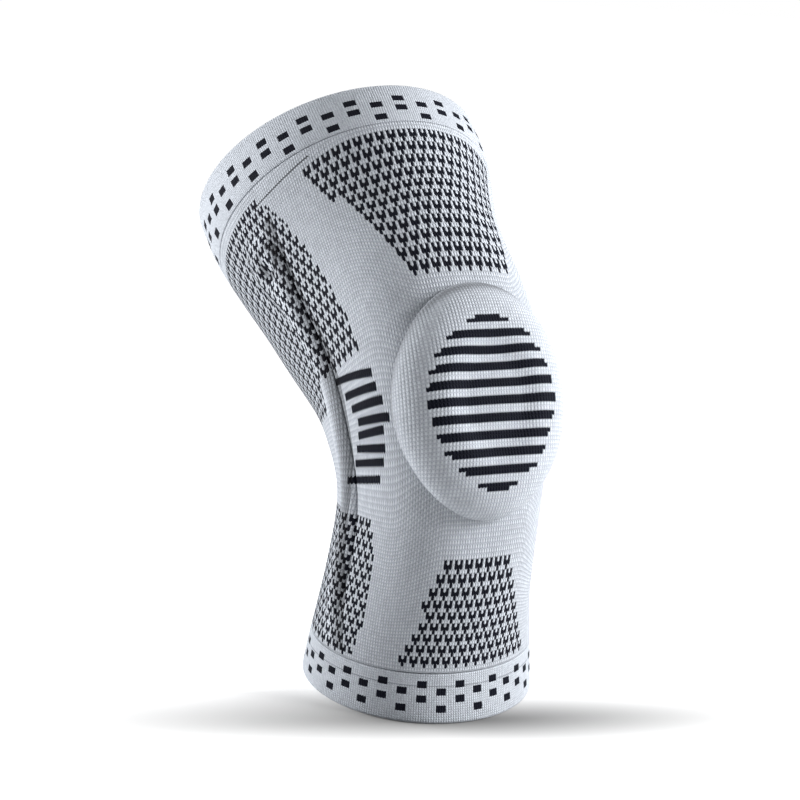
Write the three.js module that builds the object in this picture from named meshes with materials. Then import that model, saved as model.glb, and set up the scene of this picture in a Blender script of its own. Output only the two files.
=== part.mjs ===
// A knitted knee sleeve with a padded ring over the kneecap, a stay up each side
// and a doubled elastic cuff at both ends, in the bent form that it has when worn.
// Millimetres, +Z up. It stands on its lower cuff and its front looks along -Y.

import * as THREE from "three";

// Driving dimensions of the leg form
const AXIS_LENGTH = 296; // from rim to rim, along the middle of the leg
const KNEE_WIDTH = 100; // across the knee
const KNEE_DEPTH = 116; // front to back at the knee
const KNEE_CENTRE = 130; // height of the kneecap along the axis
const KNEE_BEND = 58; // degrees that the thigh leans back from the shank
const BEND_LENGTH = 148; // stretch of the axis that bends
const KNEECAP_RISE = 4; // how far the kneecap pushes the knit forward
const KNEECAP_REACH = 50; // distance along the axis over which it dies away
const KNEE_SQUARENESS = 1.4; // how flat the knee's front is; 0 is an ellipse
const TOP_LEVELLING = 13; // degrees by which the top rim is cut more level
const TOP_LEVELLING_LENGTH = 89; // stretch of the thigh that takes up that turn

// Driving dimensions of the sleeve
const BODY_WALL = 2.2; // thick elastic knit
const CUFF_WALL = 3.0; // the same knit, turned over and doubled
const CUFF_FOLD = 0.8; // rounding at the fold of a cuff
const LOWER_CUFF_HEIGHT = 24;
const UPPER_CUFF_HEIGHT = 32;
const SEAM_GAP = 0.3; // between a cuff and the body
const LAID_GAP = 0.5; // under a piece that lies on the body

// Driving dimensions of the kneecap pad
const PAD_WIDTH = 94; // across, over the curve of the knee
const PAD_HEIGHT = 118; // up and down, over the curve of the knee
const PAD_THICKNESS = 11.4;
const PAD_EDGE = 1.0; // thickness where the pad runs out at its outline
const PAD_SHOULDER = 0.38; // share of the radius that the round edge takes
const PAD_HOLLOW = 2.0; // dip in the middle of the ring
const PAD_HOLLOW_REACH = 0.35; // its reach as a share of the radius

// Driving dimensions of the side stays
const STAY_LOW_MARGIN = 14; // from the lower cuff's seam up to the stay
const STAY_HIGH_MARGIN = 18; // from the stay up to the upper cuff's seam
const STAY_WIDTH = 12;
const STAY_RISE = 4.0;
const STAY_EDGE = 0.7; // thickness at the long edges
const STAY_TURN = 87; // degrees round from the front

// Fineness of the faceted surfaces
const COLUMNS = 48;
const BODY_ROWS = 30;
const CUFF_ROWS = 3;
const PAD_RINGS = 8;
const PAD_COLUMNS = 36;
const STAY_ROWS = 36;
const STAY_STEPS = 6;
const AXIS_STEPS = 240;
const NUDGE = 0.001; // a short step of a share or an angle, to read a slope

const KNIT_GREY = 0xb9bfca;
const CUFF_GREY = 0xc0c5cf;

// Half sections of the leg form. along is a share of AXIS_LENGTH, depth a share of
// KNEE_DEPTH and width a share of KNEE_WIDTH.
const SECTIONS = [
  { along: 0.0, depth: 0.985, width: 1.18 },
  { along: 0.08, depth: 0.88, width: 1.14 },
  { along: 0.2, depth: 0.88, width: 1.015 },
  { along: 0.33, depth: 0.9, width: 0.94 },
  { along: 0.45, depth: 1.0, width: 1.0 },
  { along: 0.57, depth: 1.165, width: 1.06 },
  { along: 0.74, depth: 1.315, width: 1.23 },
  { along: 0.91, depth: 1.45, width: 1.48 },
  { along: 1.0, depth: 1.5, width: 1.5 },
];

// A stay from its lower end up. reach is a share of its length, width of STAY_WIDTH
// and rise of STAY_RISE. The round swelling near the top is the end of its pocket.
const STAY_FORM = [
  { reach: 0.0, width: 0.4, rise: 0.1 },
  { reach: 0.04, width: 0.8, rise: 0.55 },
  { reach: 0.12, width: 1.0, rise: 0.9 },
  { reach: 0.45, width: 1.0, rise: 1.0 },
  { reach: 0.72, width: 1.0, rise: 0.95 },
  { reach: 0.8, width: 1.35, rise: 0.9 },
  { reach: 0.89, width: 1.95, rise: 0.85 },
  { reach: 0.96, width: 1.6, rise: 0.6 },
  { reach: 1.0, width: 0.6, rise: 0.1 },
];

// Heights of the seams along the axis
const LOWER_SEAM = LOWER_CUFF_HEIGHT;
const UPPER_SEAM = AXIS_LENGTH - UPPER_CUFF_HEIGHT;

// Value of a column of a table at a place between its rows, on a smooth curve
function readTable(table, place, column, at) {
  const last = table.length - 1;
  let i = 0;
  while (i < last - 1 && at > table[i + 1][place]) i += 1;
  const slope = (k) => {
    const a = table[Math.max(k - 1, 0)];
    const b = table[Math.min(k + 1, last)];
    return (b[column] - a[column]) / (b[place] - a[place]);
  };
  const span = table[i + 1][place] - table[i][place];
  const t = (at - table[i][place]) / span;
  const rise = 3 * t * t - 2 * t * t * t;
  return (
    table[i][column] * (1 - rise) +
    table[i + 1][column] * rise +
    slope(i) * span * (t * t * t - 2 * t * t + t) +
    slope(i + 1) * span * (t * t * t - t * t)
  );
}

// Angle from upright of the leg's axis, at a share of its length
function axisLean(along) {
  const start = KNEE_CENTRE - BEND_LENGTH / 2;
  const bent = THREE.MathUtils.smoothstep(along * AXIS_LENGTH, start, start + BEND_LENGTH);
  return THREE.MathUtils.degToRad(KNEE_BEND) * bent;
}

// Angle from upright of the section's normal, which levels out towards the top rim
function sectionLean(along) {
  const start = AXIS_LENGTH - TOP_LEVELLING_LENGTH;
  const share = THREE.MathUtils.clamp((along * AXIS_LENGTH - start) / TOP_LEVELLING_LENGTH, 0, 1);
  return axisLean(along) - THREE.MathUtils.degToRad(TOP_LEVELLING) * share;
}

// The leg's axis, walked in small steps from the lower rim
function walkAxis() {
  const step = AXIS_LENGTH / AXIS_STEPS;
  const points = [{ back: 0, up: 0 }];
  for (let i = 0; i < AXIS_STEPS; i += 1) {
    const lean = axisLean((i + 0.5) / AXIS_STEPS);
    const from = points[i];
    points.push({ back: from.back + step * Math.sin(lean), up: from.up + step * Math.cos(lean) });
  }
  return points;
}

const AXIS = walkAxis();

function axisPoint(along) {
  const place = THREE.MathUtils.clamp(along, 0, 1) * AXIS_STEPS;
  const i = Math.min(Math.floor(place), AXIS_STEPS - 1);
  return {
    back: THREE.MathUtils.lerp(AXIS[i].back, AXIS[i + 1].back, place - i),
    up: THREE.MathUtils.lerp(AXIS[i].up, AXIS[i + 1].up, place - i),
  };
}

// Outline of one section: side is towards -X and front is forwards, for a turn from
// the front. The knee's front is flatter than an ellipse, with the kneecap on it.
function sectionOutline(along, turn) {
  const swell = Math.exp(-(((along * AXIS_LENGTH - KNEE_CENTRE) / KNEECAP_REACH) ** 2));
  const forward = Math.cos(turn);
  const sideways = Math.sin(turn);
  const power = forward > 0 ? 2 + KNEE_SQUARENESS * swell : 2;
  const reach = (Math.abs(forward) ** power + Math.abs(sideways) ** power) ** (-1 / power);
  const halfWidth = (readTable(SECTIONS, "along", "width", along) * KNEE_WIDTH) / 2;
  const halfDepth = (readTable(SECTIONS, "along", "depth", along) * KNEE_DEPTH) / 2;
  return {
    side: halfWidth * sideways * reach,
    front: halfDepth * forward * reach + KNEECAP_RISE * swell * Math.max(forward, 0) ** 2,
  };
}

// Point of the sleeve's outer surface, moved out of it in the plane of its section
function skinPoint(along, turn, out) {
  const here = sectionOutline(along, turn);
  const before = sectionOutline(along, turn - NUDGE);
  const after = sectionOutline(along, turn + NUDGE);
  const tangent = new THREE.Vector2(after.side - before.side, after.front - before.front).normalize();
  const side = here.side - tangent.y * out;
  const front = here.front + tangent.x * out;
  const axis = axisPoint(along);
  const lean = sectionLean(along);
  return new THREE.Vector3(-side, axis.back - front * Math.cos(lean), axis.up + front * Math.sin(lean));
}

// Closed mesh through rings of equally many points. Open lofts are capped at both
// ends, and a ringed loft runs on from its last ring to its first.
function loft(rings, ringed) {
  const count = rings[0].length;
  const points = rings.flat();
  const faces = [];
  const seams = ringed ? rings.length : rings.length - 1;
  for (let i = 0; i < seams; i += 1) {
    const low = i * count;
    const high = ((i + 1) % rings.length) * count;
    for (let j = 0; j < count; j += 1) {
      const next = (j + 1) % count;
      faces.push(low + j, low + next, high + next);
      faces.push(low + j, high + next, high + j);
    }
  }
  if (!ringed) {
    const middle = (ring) => ring.reduce((sum, p) => sum.add(p), new THREE.Vector3()).divideScalar(count);
    const top = (rings.length - 1) * count;
    points.push(middle(rings[0]), middle(rings[rings.length - 1]));
    for (let j = 0; j < count; j += 1) {
      const next = (j + 1) % count;
      faces.push(points.length - 2, next, j);
      faces.push(points.length - 1, top + j, top + next);
    }
  }
  const geometry = new THREE.BufferGeometry().setFromPoints(points);
  geometry.setIndex(faces);
  geometry.computeVertexNormals();
  return geometry;
}

// Evenly spaced values from one number to another, both included
function steps(from, to, count) {
  return Array.from({ length: count + 1 }, (_, i) => from + ((to - from) * i) / count);
}

// Evenly spaced angles of one whole turn, whose end is left out
function aroundOnce(count) {
  return steps(0, 2 * Math.PI, count).slice(0, count);
}

// Tube of knit from a profile, a closed list of heights along the axis and offsets
// from the outer surface that goes up outside and down inside
function knitTube(profile) {
  const turns = aroundOnce(COLUMNS);
  return loft(
    profile.map(({ height, out }) => turns.map((turn) => skinPoint(height / AXIS_LENGTH, -turn, out))),
    true,
  );
}

function sleeveBody() {
  const heights = steps(LOWER_SEAM + SEAM_GAP / 2, UPPER_SEAM - SEAM_GAP / 2, BODY_ROWS);
  const outside = heights.map((height) => ({ height, out: 0 }));
  const inside = heights.toReversed().map((height) => ({ height, out: -BODY_WALL }));
  return knitTube([...outside, ...inside]);
}

// A cuff runs from its seam to its folded rim, which may be the upper or the lower end
function cuff(seam, rim) {
  const toRim = Math.sign(rim - seam);
  const outside = steps(seam, rim - toRim * CUFF_FOLD, CUFF_ROWS).map((height) => ({ height, out: 0 }));
  const fold = [-CUFF_FOLD, CUFF_FOLD - CUFF_WALL].map((out) => ({ height: rim, out }));
  const inside = outside.toReversed().map(({ height }) => ({ height, out: -CUFF_WALL }));
  const profile = [...outside, ...fold, ...inside];
  return knitTube(toRim > 0 ? profile : profile.toReversed());
}

// Thickness of the pad at a share of its radius: a round shoulder and a hollow middle
function padRise(share) {
  const shoulder = Math.min((1 - share) / PAD_SHOULDER, 1);
  const hollow = PAD_HOLLOW * Math.exp(-((share / PAD_HOLLOW_REACH) ** 2));
  const body = PAD_THICKNESS - PAD_EDGE;
  return PAD_EDGE + body * Math.sqrt(1 - (1 - shoulder) ** 2) - hollow;
}

// The pad is laid out in rings that crowd towards its steep outline
function patellaPad() {
  const centre = KNEE_CENTRE / AXIS_LENGTH;
  const halfAlong = PAD_HEIGHT / 2 / frontScale(centre);
  const halfTurn = turnAcross(centre, PAD_WIDTH / 2);
  const ring = (share, out) =>
    aroundOnce(PAD_COLUMNS).map((angle) => {
      const along = centre + halfAlong * share * Math.cos(angle);
      return skinPoint(along, -halfTurn * share * Math.sin(angle), LAID_GAP + out);
    });
  const shares = steps(0, Math.PI / 2, PAD_RINGS).slice(1).map(Math.sin);
  const top = shares.map((share) => ring(share, padRise(share)));
  const underside = shares.toReversed().map((share) => ring(share, 0));
  return loft([...top, ...underside], false);
}

// Millimetres up the front of the leg form for a whole share of the axis
function frontScale(along) {
  return skinPoint(along + NUDGE, 0, 0).distanceTo(skinPoint(along - NUDGE, 0, 0)) / (2 * NUDGE);
}

// Millimetres round a section for a radian of turn
function turnScale(along, turn) {
  return skinPoint(along, turn + NUDGE, 0).distanceTo(skinPoint(along, turn - NUDGE, 0)) / (2 * NUDGE);
}

// Turn from the front that lies a given length round the section
function turnAcross(along, length) {
  let turn = 0;
  let walked = 0;
  while (walked < length) {
    walked += NUDGE * turnScale(along, turn);
    turn += NUDGE;
  }
  return turn;
}

// A stay is lofted through cross sections with a rounded top. side is 1 for the left
// one, seen from the front, and -1 for the right one.
function sideStay(side) {
  const turn = side * THREE.MathUtils.degToRad(STAY_TURN);
  const start = LOWER_SEAM + STAY_LOW_MARGIN;
  const length = UPPER_SEAM - STAY_HIGH_MARGIN - start;
  const across = steps(1, -1, STAY_STEPS);
  const section = (reach) => {
    const along = (start + length * reach) / AXIS_LENGTH;
    const halfTurn = (STAY_WIDTH / 2 / turnScale(along, turn)) * readTable(STAY_FORM, "reach", "width", reach);
    const rise = STAY_RISE * readTable(STAY_FORM, "reach", "rise", reach);
    const place = (t, out) => skinPoint(along, turn + t * halfTurn, LAID_GAP + out);
    const top = across.map((t) => place(t, STAY_EDGE + rise * (1 - t * t)));
    return [...top, ...across.toReversed().map((t) => place(t, 0))];
  };
  return loft(steps(0, 1, STAY_ROWS).map(section), false);
}

function mesh(name, geometry, color, roughness) {
  const piece = new THREE.Mesh(geometry, new THREE.MeshStandardMaterial({ color, roughness, metalness: 0 }));
  piece.name = name;
  return piece;
}

const sleeve = new THREE.Group();
sleeve.add(
  mesh("sleeve_body", sleeveBody(), KNIT_GREY, 0.9),
  mesh("lower_cuff", cuff(LOWER_SEAM - SEAM_GAP / 2, 0), CUFF_GREY, 0.85),
  mesh("upper_cuff", cuff(UPPER_SEAM + SEAM_GAP / 2, AXIS_LENGTH), CUFF_GREY, 0.85),
  mesh("patella_pad", patellaPad(), KNIT_GREY, 0.9),
  mesh("side_stay_left", sideStay(1), KNIT_GREY, 0.9),
  mesh("side_stay_right", sideStay(-1), KNIT_GREY, 0.9),
);

// The origin is under the middle of the whole sleeve, on the surface that it stands on
const box = new THREE.Box3().setFromObject(sleeve);
const middle = box.getCenter(new THREE.Vector3());
sleeve.position.set(-middle.x, -middle.y, -box.min.z);

export default sleeve;
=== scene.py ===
# %% [markdown]
# # A knitted knee sleeve
#
# This notebook dresses the solid model of a knee sleeve: a bent tube of thick
# elastic knit, an oval ring pad over the kneecap, a stay in a knitted channel up
# each side and a doubled cuff at both ends. The solid model is the frame. It
# gives every piece its size and place, and each knitted piece made here takes
# the place of one plain solid.

import math

import bpy
import numpy as np
from mathutils import Matrix, Vector


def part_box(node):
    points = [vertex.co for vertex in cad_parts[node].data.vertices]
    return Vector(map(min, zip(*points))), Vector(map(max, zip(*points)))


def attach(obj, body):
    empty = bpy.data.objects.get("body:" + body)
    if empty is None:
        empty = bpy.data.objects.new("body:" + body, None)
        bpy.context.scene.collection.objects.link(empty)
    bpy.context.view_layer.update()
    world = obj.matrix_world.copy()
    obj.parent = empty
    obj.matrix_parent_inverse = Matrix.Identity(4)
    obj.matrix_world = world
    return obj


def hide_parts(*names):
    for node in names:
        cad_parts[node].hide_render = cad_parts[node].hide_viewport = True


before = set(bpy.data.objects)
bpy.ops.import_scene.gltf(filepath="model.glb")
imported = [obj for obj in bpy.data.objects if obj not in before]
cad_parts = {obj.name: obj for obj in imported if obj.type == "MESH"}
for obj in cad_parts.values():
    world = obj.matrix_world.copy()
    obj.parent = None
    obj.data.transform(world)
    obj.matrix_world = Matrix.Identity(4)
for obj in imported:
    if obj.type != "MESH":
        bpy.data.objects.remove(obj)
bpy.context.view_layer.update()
MM = 0.001
bpy.ops.object.select_all(action="DESELECT")
print("nodes in the frame:", sorted(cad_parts))

# %% [markdown]
# ## The leg form
#
# An elastic sleeve has no shape of its own: it takes the shape of the leg in it.
# So everything here is laid out on one leg form, a bent tube with an oval
# section. The solid model was made with the same sizes, and they are repeated
# here so that the knit lies where its solid lies. A place on the form is a share
# of the axis, from the lower rim to the upper one, and a turn from the front.
#
# The form could be sculpted, or lofted through drawn curves. A few formulas are
# better here, because they also give the stitches their places later on.

# %% Sizes of the leg form, in millimetres and degrees
AXIS_LENGTH = 296
KNEE_WIDTH = 100
KNEE_DEPTH = 116
KNEE_CENTRE = 130
KNEE_BEND = 58  # degrees
BEND_LENGTH = 148
KNEECAP_RISE = 4
KNEECAP_REACH = 50
KNEE_SQUARENESS = 1.4  # what the knee's front adds to an ellipse's power of 2
TOP_LEVELLING = 13  # degrees by which the thigh rim is turned back towards level
TOP_LEVELLING_LENGTH = 89

# Half sections: a share of the axis, then depth and width as shares of the knee's
SECTIONS = np.array(
    [
        (0.0, 0.985, 1.18),
        (0.08, 0.88, 1.14),
        (0.2, 0.88, 1.015),
        (0.33, 0.9, 0.94),
        (0.45, 1.0, 1.0),
        (0.57, 1.165, 1.06),
        (0.74, 1.315, 1.23),
        (0.91, 1.45, 1.48),
        (1.0, 1.5, 1.5),
    ]
)
DEPTH, WIDTH = 1, 2
print("sections along the leg:", len(SECTIONS))

# %% [markdown]
# Between its rows a table is read on a smooth curve, so that the sleeve has no
# kinks where the rows are. The axis is walked in small steps, because its lean
# changes on the way: upright in the shank, leaning back in the thigh.


# %% Read a table, and walk the axis
def read_table(table, column, at):
    """A column of a table between its rows, on a smooth curve."""
    at = np.asarray(at, float)
    places, values = table[:, 0], table[:, column]
    last = len(places) - 1
    low, high = np.maximum(np.arange(last + 1) - 1, 0), np.minimum(np.arange(last + 1) + 1, last)
    slopes = (values[high] - values[low]) / (places[high] - places[low])
    i = np.clip(np.searchsorted(places, at, side="right") - 1, 0, last - 1)
    span = places[i + 1] - places[i]
    t = (at - places[i]) / span
    rise = 3 * t**2 - 2 * t**3
    curved = slopes[i] * (t**3 - 2 * t**2 + t) + slopes[i + 1] * (t**3 - t**2)
    return values[i] * (1 - rise) + values[i + 1] * rise + curved * span


def smoothstep(value, start, end):
    t = np.clip((np.asarray(value, float) - start) / (end - start), 0, 1)
    return t * t * (3 - 2 * t)


def axis_lean(along):
    start = KNEE_CENTRE - BEND_LENGTH / 2
    height = np.asarray(along) * AXIS_LENGTH
    return math.radians(KNEE_BEND) * smoothstep(height, start, start + BEND_LENGTH)


def section_lean(along):
    start = AXIS_LENGTH - TOP_LEVELLING_LENGTH
    share = np.clip((np.asarray(along) * AXIS_LENGTH - start) / TOP_LEVELLING_LENGTH, 0, 1)
    return axis_lean(along) - math.radians(TOP_LEVELLING) * share


AXIS_STEPS = 240
step_leans = axis_lean((np.arange(AXIS_STEPS) + 0.5) / AXIS_STEPS)
step = AXIS_LENGTH / AXIS_STEPS
AXIS_BACK = np.concatenate([[0], np.cumsum(step * np.sin(step_leans))])
AXIS_UP = np.concatenate([[0], np.cumsum(step * np.cos(step_leans))])
AXIS_PLACES = np.linspace(0, 1, AXIS_STEPS + 1)
print("the axis ends", round(AXIS_BACK[-1]), "mm back and", round(AXIS_UP[-1]), "mm up")

# %% [markdown]
# A section is an ellipse, but flatter at the front of the knee, where the kneecap
# lies. The skin is a point of that section, moved out along the section's own
# normal by a given height. Turns are positive towards the left, as one looks at
# the front.


# %% Points of the sleeve's surface
NUDGE = 0.001  # a small step, in turns and in shares, for measuring slopes


def section_outline(along, turn):
    """How far a section reaches sideways and to the front at a turn."""
    swell = np.exp(-(((along * AXIS_LENGTH - KNEE_CENTRE) / KNEECAP_REACH) ** 2))
    forward, sideways = np.cos(turn), np.sin(turn)
    power = np.where(forward > 0, 2 + KNEE_SQUARENESS * swell, 2)
    reach = (np.abs(forward) ** power + np.abs(sideways) ** power) ** (-1 / power)
    half_width = read_table(SECTIONS, WIDTH, along) * KNEE_WIDTH / 2
    half_depth = read_table(SECTIONS, DEPTH, along) * KNEE_DEPTH / 2
    kneecap = KNEECAP_RISE * swell * np.maximum(forward, 0) ** 2
    return half_width * sideways * reach, half_depth * forward * reach + kneecap


def skin(along, turn, out=0.0):
    """Points in millimetres at shares of the axis, turns from the front and heights."""
    along, turn, out = np.broadcast_arrays(*(np.asarray(x, float) for x in (along, turn, out)))
    side, front = section_outline(along, turn)
    side_before, front_before = section_outline(along, turn - NUDGE)
    side_after, front_after = section_outline(along, turn + NUDGE)
    run, climb = side_after - side_before, front_after - front_before
    length = np.hypot(run, climb)
    side, front = side - climb / length * out, front + run / length * out
    back = np.interp(along, AXIS_PLACES, AXIS_BACK) + RIM_CENTRE
    up = np.interp(along, AXIS_PLACES, AXIS_UP)
    lean = section_lean(along)
    return np.stack([-side, back - front * np.cos(lean), up + front * np.sin(lean)], -1)


RIM_CENTRE = 0.0
RIM_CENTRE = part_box("lower_cuff")[0].y / MM - skin(0, 0)[1]
print("the lower rim is centred at y =", round(RIM_CENTRE, 2), "mm")

# %% [markdown]
# ## Counting stitches
#
# Knit is a grid of stitches. A column of them is a wale, and a row of them is a
# course. All patterns on the sleeve are knitted in, so their edges step from
# stitch to stitch. Every knitted piece therefore carries a UV map that counts
# stitches: u counts the wales from the front's middle line, and v the courses, on
# the tube from the lower rim. A material can then find its stitch by rounding.
#
# The thigh's stitches are stretched more than the shank's, so the size of a wale
# changes along the leg. The front and the sides are stretched differently too, so
# they have two counts of courses, and one runs into the other between the front
# panels and the side panels. Round the back, the wales are spread evenly, so that
# the tube closes on a whole number of them.

# %% Sizes of the stitches
SHANK_WALE, THIGH_WALE = 1.33, 1.44  # millimetres
SHANK_END, THIGH_START = 0.3, 0.62  # shares of the axis between which they change
BACK_START, BACK_END = math.radians(118), math.pi  # turns between which wales even out
HALF_WALES = 142  # from the front's middle line to the back's
SIDE_START = math.radians(24)  # turn up to which the front's courses hold
# Turns from which the side's courses hold, at the knee and near the thigh rim
KNEE_SIDE, THIGH_SIDE = math.radians(54), math.radians(70)
THIGH_SIDE_FROM, THIGH_SIDE_ON = 0.55, 0.85  # shares of the axis

# A share of the axis, then courses from the lower rim on the front and at the side
COURSES = np.array(
    [
        (0.0, 0, 0),
        (0.09, 14, 14),
        (0.27, 41, 47.5),
        (0.317, 48.5, 56),
        (0.42, 68.5, 67.5),
        (0.525, 88.5, 81.2),
        (0.573, 97.5, 88.8),
        (0.646, 108, 100),
        (0.7225, 117, 112),
        (0.781, 123, 121.2),
        (0.858, 130, 133.2),
        (1.0, 143, 155),
    ]
)
FRONT, SIDE = 1, 2

FINE_SHARES = np.linspace(0, 1, 401)
FINE_TURNS = np.linspace(0, math.pi, 361)


def changing(shank, thigh, along):
    return shank + (thigh - shank) * smoothstep(along, SHANK_END, THIGH_START)


def arc_table():
    """Length round each fine section from the front's middle line, in millimetres."""
    points = skin(FINE_SHARES[:, None], FINE_TURNS[None, :])
    steps = np.linalg.norm(np.diff(points, axis=1), axis=2)
    return np.concatenate([np.zeros((len(points), 1)), np.cumsum(steps, axis=1)], axis=1)


ARCS = arc_table()
print("courses from rim to rim, front and side:", COURSES[-1, FRONT], COURSES[-1, SIDE])
print("girth of the two rims in mm:", round(2 * ARCS[0, -1]), round(2 * ARCS[-1, -1]))

# %% [markdown]
# The length round each section was measured in small steps. Between them it is
# read off evenly, and divided by the size of a wale it gives the wale.


# %% Stitch of a place
def read_grid(grid, along, turn):
    """A value of a grid over fine shares and fine turns, between its places."""
    row = np.clip(along, 0, 1) * (len(FINE_SHARES) - 1)
    column = np.clip(turn / math.pi, 0, 1) * (len(FINE_TURNS) - 1)
    i = np.minimum(row.astype(int), len(FINE_SHARES) - 2)
    j = np.minimum(column.astype(int), len(FINE_TURNS) - 2)
    a, b = row - i, column - j
    low = grid[i, j] * (1 - b) + grid[i, j + 1] * b
    high = grid[i + 1, j] * (1 - b) + grid[i + 1, j + 1] * b
    return low * (1 - a) + high * a


def stitches_at(along, turn):
    """Wales and courses of a place, as two arrays."""
    along, turn = np.broadcast_arrays(np.asarray(along, float), np.asarray(turn, float))
    wales = read_grid(ARCS, along, np.abs(turn)) / changing(SHANK_WALE, THIGH_WALE, along)
    behind = smoothstep(np.abs(turn), BACK_START, BACK_END)
    wales = wales * (1 - behind) + HALF_WALES * np.abs(turn) / math.pi * behind
    side = KNEE_SIDE + (THIGH_SIDE - KNEE_SIDE) * smoothstep(along, THIGH_SIDE_FROM, THIGH_SIDE_ON)
    at_side = smoothstep(np.abs(turn), SIDE_START, side)
    on_front, on_side = read_table(COURSES, FRONT, along), read_table(COURSES, SIDE, along)
    return np.sign(turn) * wales, on_front * (1 - at_side) + on_side * at_side


def stitch_of(along, arc, count=SIDE):
    """Wale and course of a landmark, given by its share and its length round the leg."""
    wales = arc / changing(SHANK_WALE, THIGH_WALE, along)
    return float(wales), float(read_table(COURSES, count, along))


knee_stitch = stitches_at(KNEE_CENTRE / AXIS_LENGTH, 0)
print("stitch at the knee's middle:", [round(float(x), 1) for x in knee_stitch])

# %% [markdown]
# ## From points to a mesh
#
# A cylinder could be added and pushed into shape, but a knitted tube follows its
# formula at every point, so its mesh is written out in code: rows of points that
# are joined by quads. Each corner of a quad also gets its stitch count in the UV
# map. Where a row closes round the back, the last corners get the count of a
# whole turn and not the first one again, or the last quads would squeeze the
# whole pattern into one column.


# %% Quads between rows of points
def row_quads(rows, columns, close_rows):
    """Quads between closed rows, as numbers of points and as numbers of map corners."""
    i = np.arange(rows if close_rows else rows - 1)
    i, j = (x.ravel() for x in np.meshgrid(i, np.arange(columns), indexing="ij"))
    up, on = (i + 1) % rows, (j + 1) % columns
    quads = np.stack([i * columns + j, i * columns + on, up * columns + on, up * columns + j], 1)
    wide = columns + 1
    corners = np.stack([i * wide + j, i * wide + j + 1, up * wide + j + 1, up * wide + j], 1)
    return quads, corners


print("3 rows of 4 points in a ring have", len(row_quads(3, 4, True)[0]), "quads")

# %% [markdown]
# The faces of a piece have to point outwards. The volume inside tells: summed over
# all triangles, it comes out below zero when they point inwards, and then all of
# them are turned round.

# %% A smooth piece with stitch counts
KNIT_MAP = "stitches"


def volume_inside(mesh):
    """Volume in cubic metres, below zero when the faces point inwards."""
    mesh.calc_loop_triangles()
    corners = np.array([[mesh.vertices[i].co for i in tri.vertices] for tri in mesh.loop_triangles])
    return float(np.sum(corners[:, 0] * np.cross(corners[:, 1], corners[:, 2])) / 6)


def knit_mesh(name, points, faces, corner_counts):
    """A smooth piece from points in millimetres, faces, and a stitch count for each corner."""
    mesh = bpy.data.meshes.new(name)
    mesh.from_pydata((points.reshape(-1, 3) * MM).tolist(), [], faces)
    layer = mesh.uv_layers.new(name=KNIT_MAP)
    layer.uv.foreach_set("vector", np.asarray(corner_counts, np.float32).ravel())
    mesh.shade_smooth()
    if volume_inside(mesh) < 0:
        mesh.flip_normals()
    piece = bpy.data.objects.new(name, mesh)
    bpy.context.scene.collection.objects.link(piece)
    print(name, "has", len(mesh.polygons), "faces round", round(volume_inside(mesh) * 1e6, 1), "ml")
    return piece


print("every knitted piece has the UV map", KNIT_MAP)

# %% [markdown]
# Two kinds of closed piece are needed: a ring, such as the wall of a tube, whose
# last row runs on to the first, and a lump, such as the pad, which is closed at
# both ends by a fan of triangles.


# %% Rings and lumps
def ringed_mesh(name, points, counts):
    """Closed piece of closed rows, whose last row runs on to the first. counts has a column more."""
    quads, corners = row_quads(*points.shape[:2], True)
    return knit_mesh(name, points, quads.tolist(), counts.reshape(-1, 2)[corners])


def capped_mesh(name, points, counts):
    """Closed piece of closed rows, with a fan of triangles at its first and last rows."""
    rows, columns = points.shape[:2]
    quads, _ = row_quads(rows, columns, False)
    middles = np.stack([points[0].mean(0), points[-1].mean(0)])
    all_points = np.concatenate([points.reshape(-1, 3), middles])
    middle_counts = np.stack([counts[0].mean(0), counts[-1].mean(0)])
    all_counts = np.concatenate([counts.reshape(-1, 2), middle_counts])
    low, high = rows * columns, rows * columns + 1
    start = (rows - 1) * columns
    on = [(j + 1) % columns for j in range(columns)]
    fans = [(low, on[j], j) for j in range(columns)]
    fans += [(high, start + j, start + on[j]) for j in range(columns)]
    faces = quads.tolist() + fans
    return knit_mesh(name, all_points, faces, all_counts[np.concatenate([np.array(f) for f in faces])])


def dress(piece, node):
    """The piece rides with the leg and stands for its solid, which is hidden."""
    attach(piece, "root")
    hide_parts(node)
    return piece


print("the sleeve is one body, so every piece rides with the root")

# %% [markdown]
# ## The tube and its cuffs
#
# On the real sleeve the tube and the cuffs are knitted in one go, and each cuff is
# turned over and sewn down, which leaves a fine groove at its seam. Each is
# made as a closed wall: up the outside and down the inside, with a rounded edge
# at both ends. A Solidify modifier could add the wall, but it would leave square
# ends. So the wall's profile is a list of heights along the axis with the depth
# under the outer surface, and the tube is that profile carried round the leg.

# %% Sizes of the knit, in millimetres
BODY_WALL = 2.2
CUFF_WALL = 3.0
CUFF_ROUNDING = 1.3
LOWER_CUFF_HEIGHT = 24
UPPER_CUFF_HEIGHT = 32
SEAM_GAP = 0.3
SEAM_ROUNDING = 0.7
LOWER_SEAM = LOWER_CUFF_HEIGHT
UPPER_SEAM = AXIS_LENGTH - UPPER_CUFF_HEIGHT
print("the tube runs from", LOWER_SEAM, "to", UPPER_SEAM, "mm along the axis")


# %% The profile of a wall
def rounded_end(height, towards, wall, radius, count=4):
    """Heights and depths from the outer surface round an end and to the inner one."""
    angles = np.linspace(0, math.pi / 2, count + 1)
    heights = height - towards * radius * (1 - np.sin(angles))
    depths = radius * (1 - np.cos(angles))
    inner = wall - depths[::-1]
    return np.concatenate([heights, heights[::-1]]), np.concatenate([depths, inner])


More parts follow.
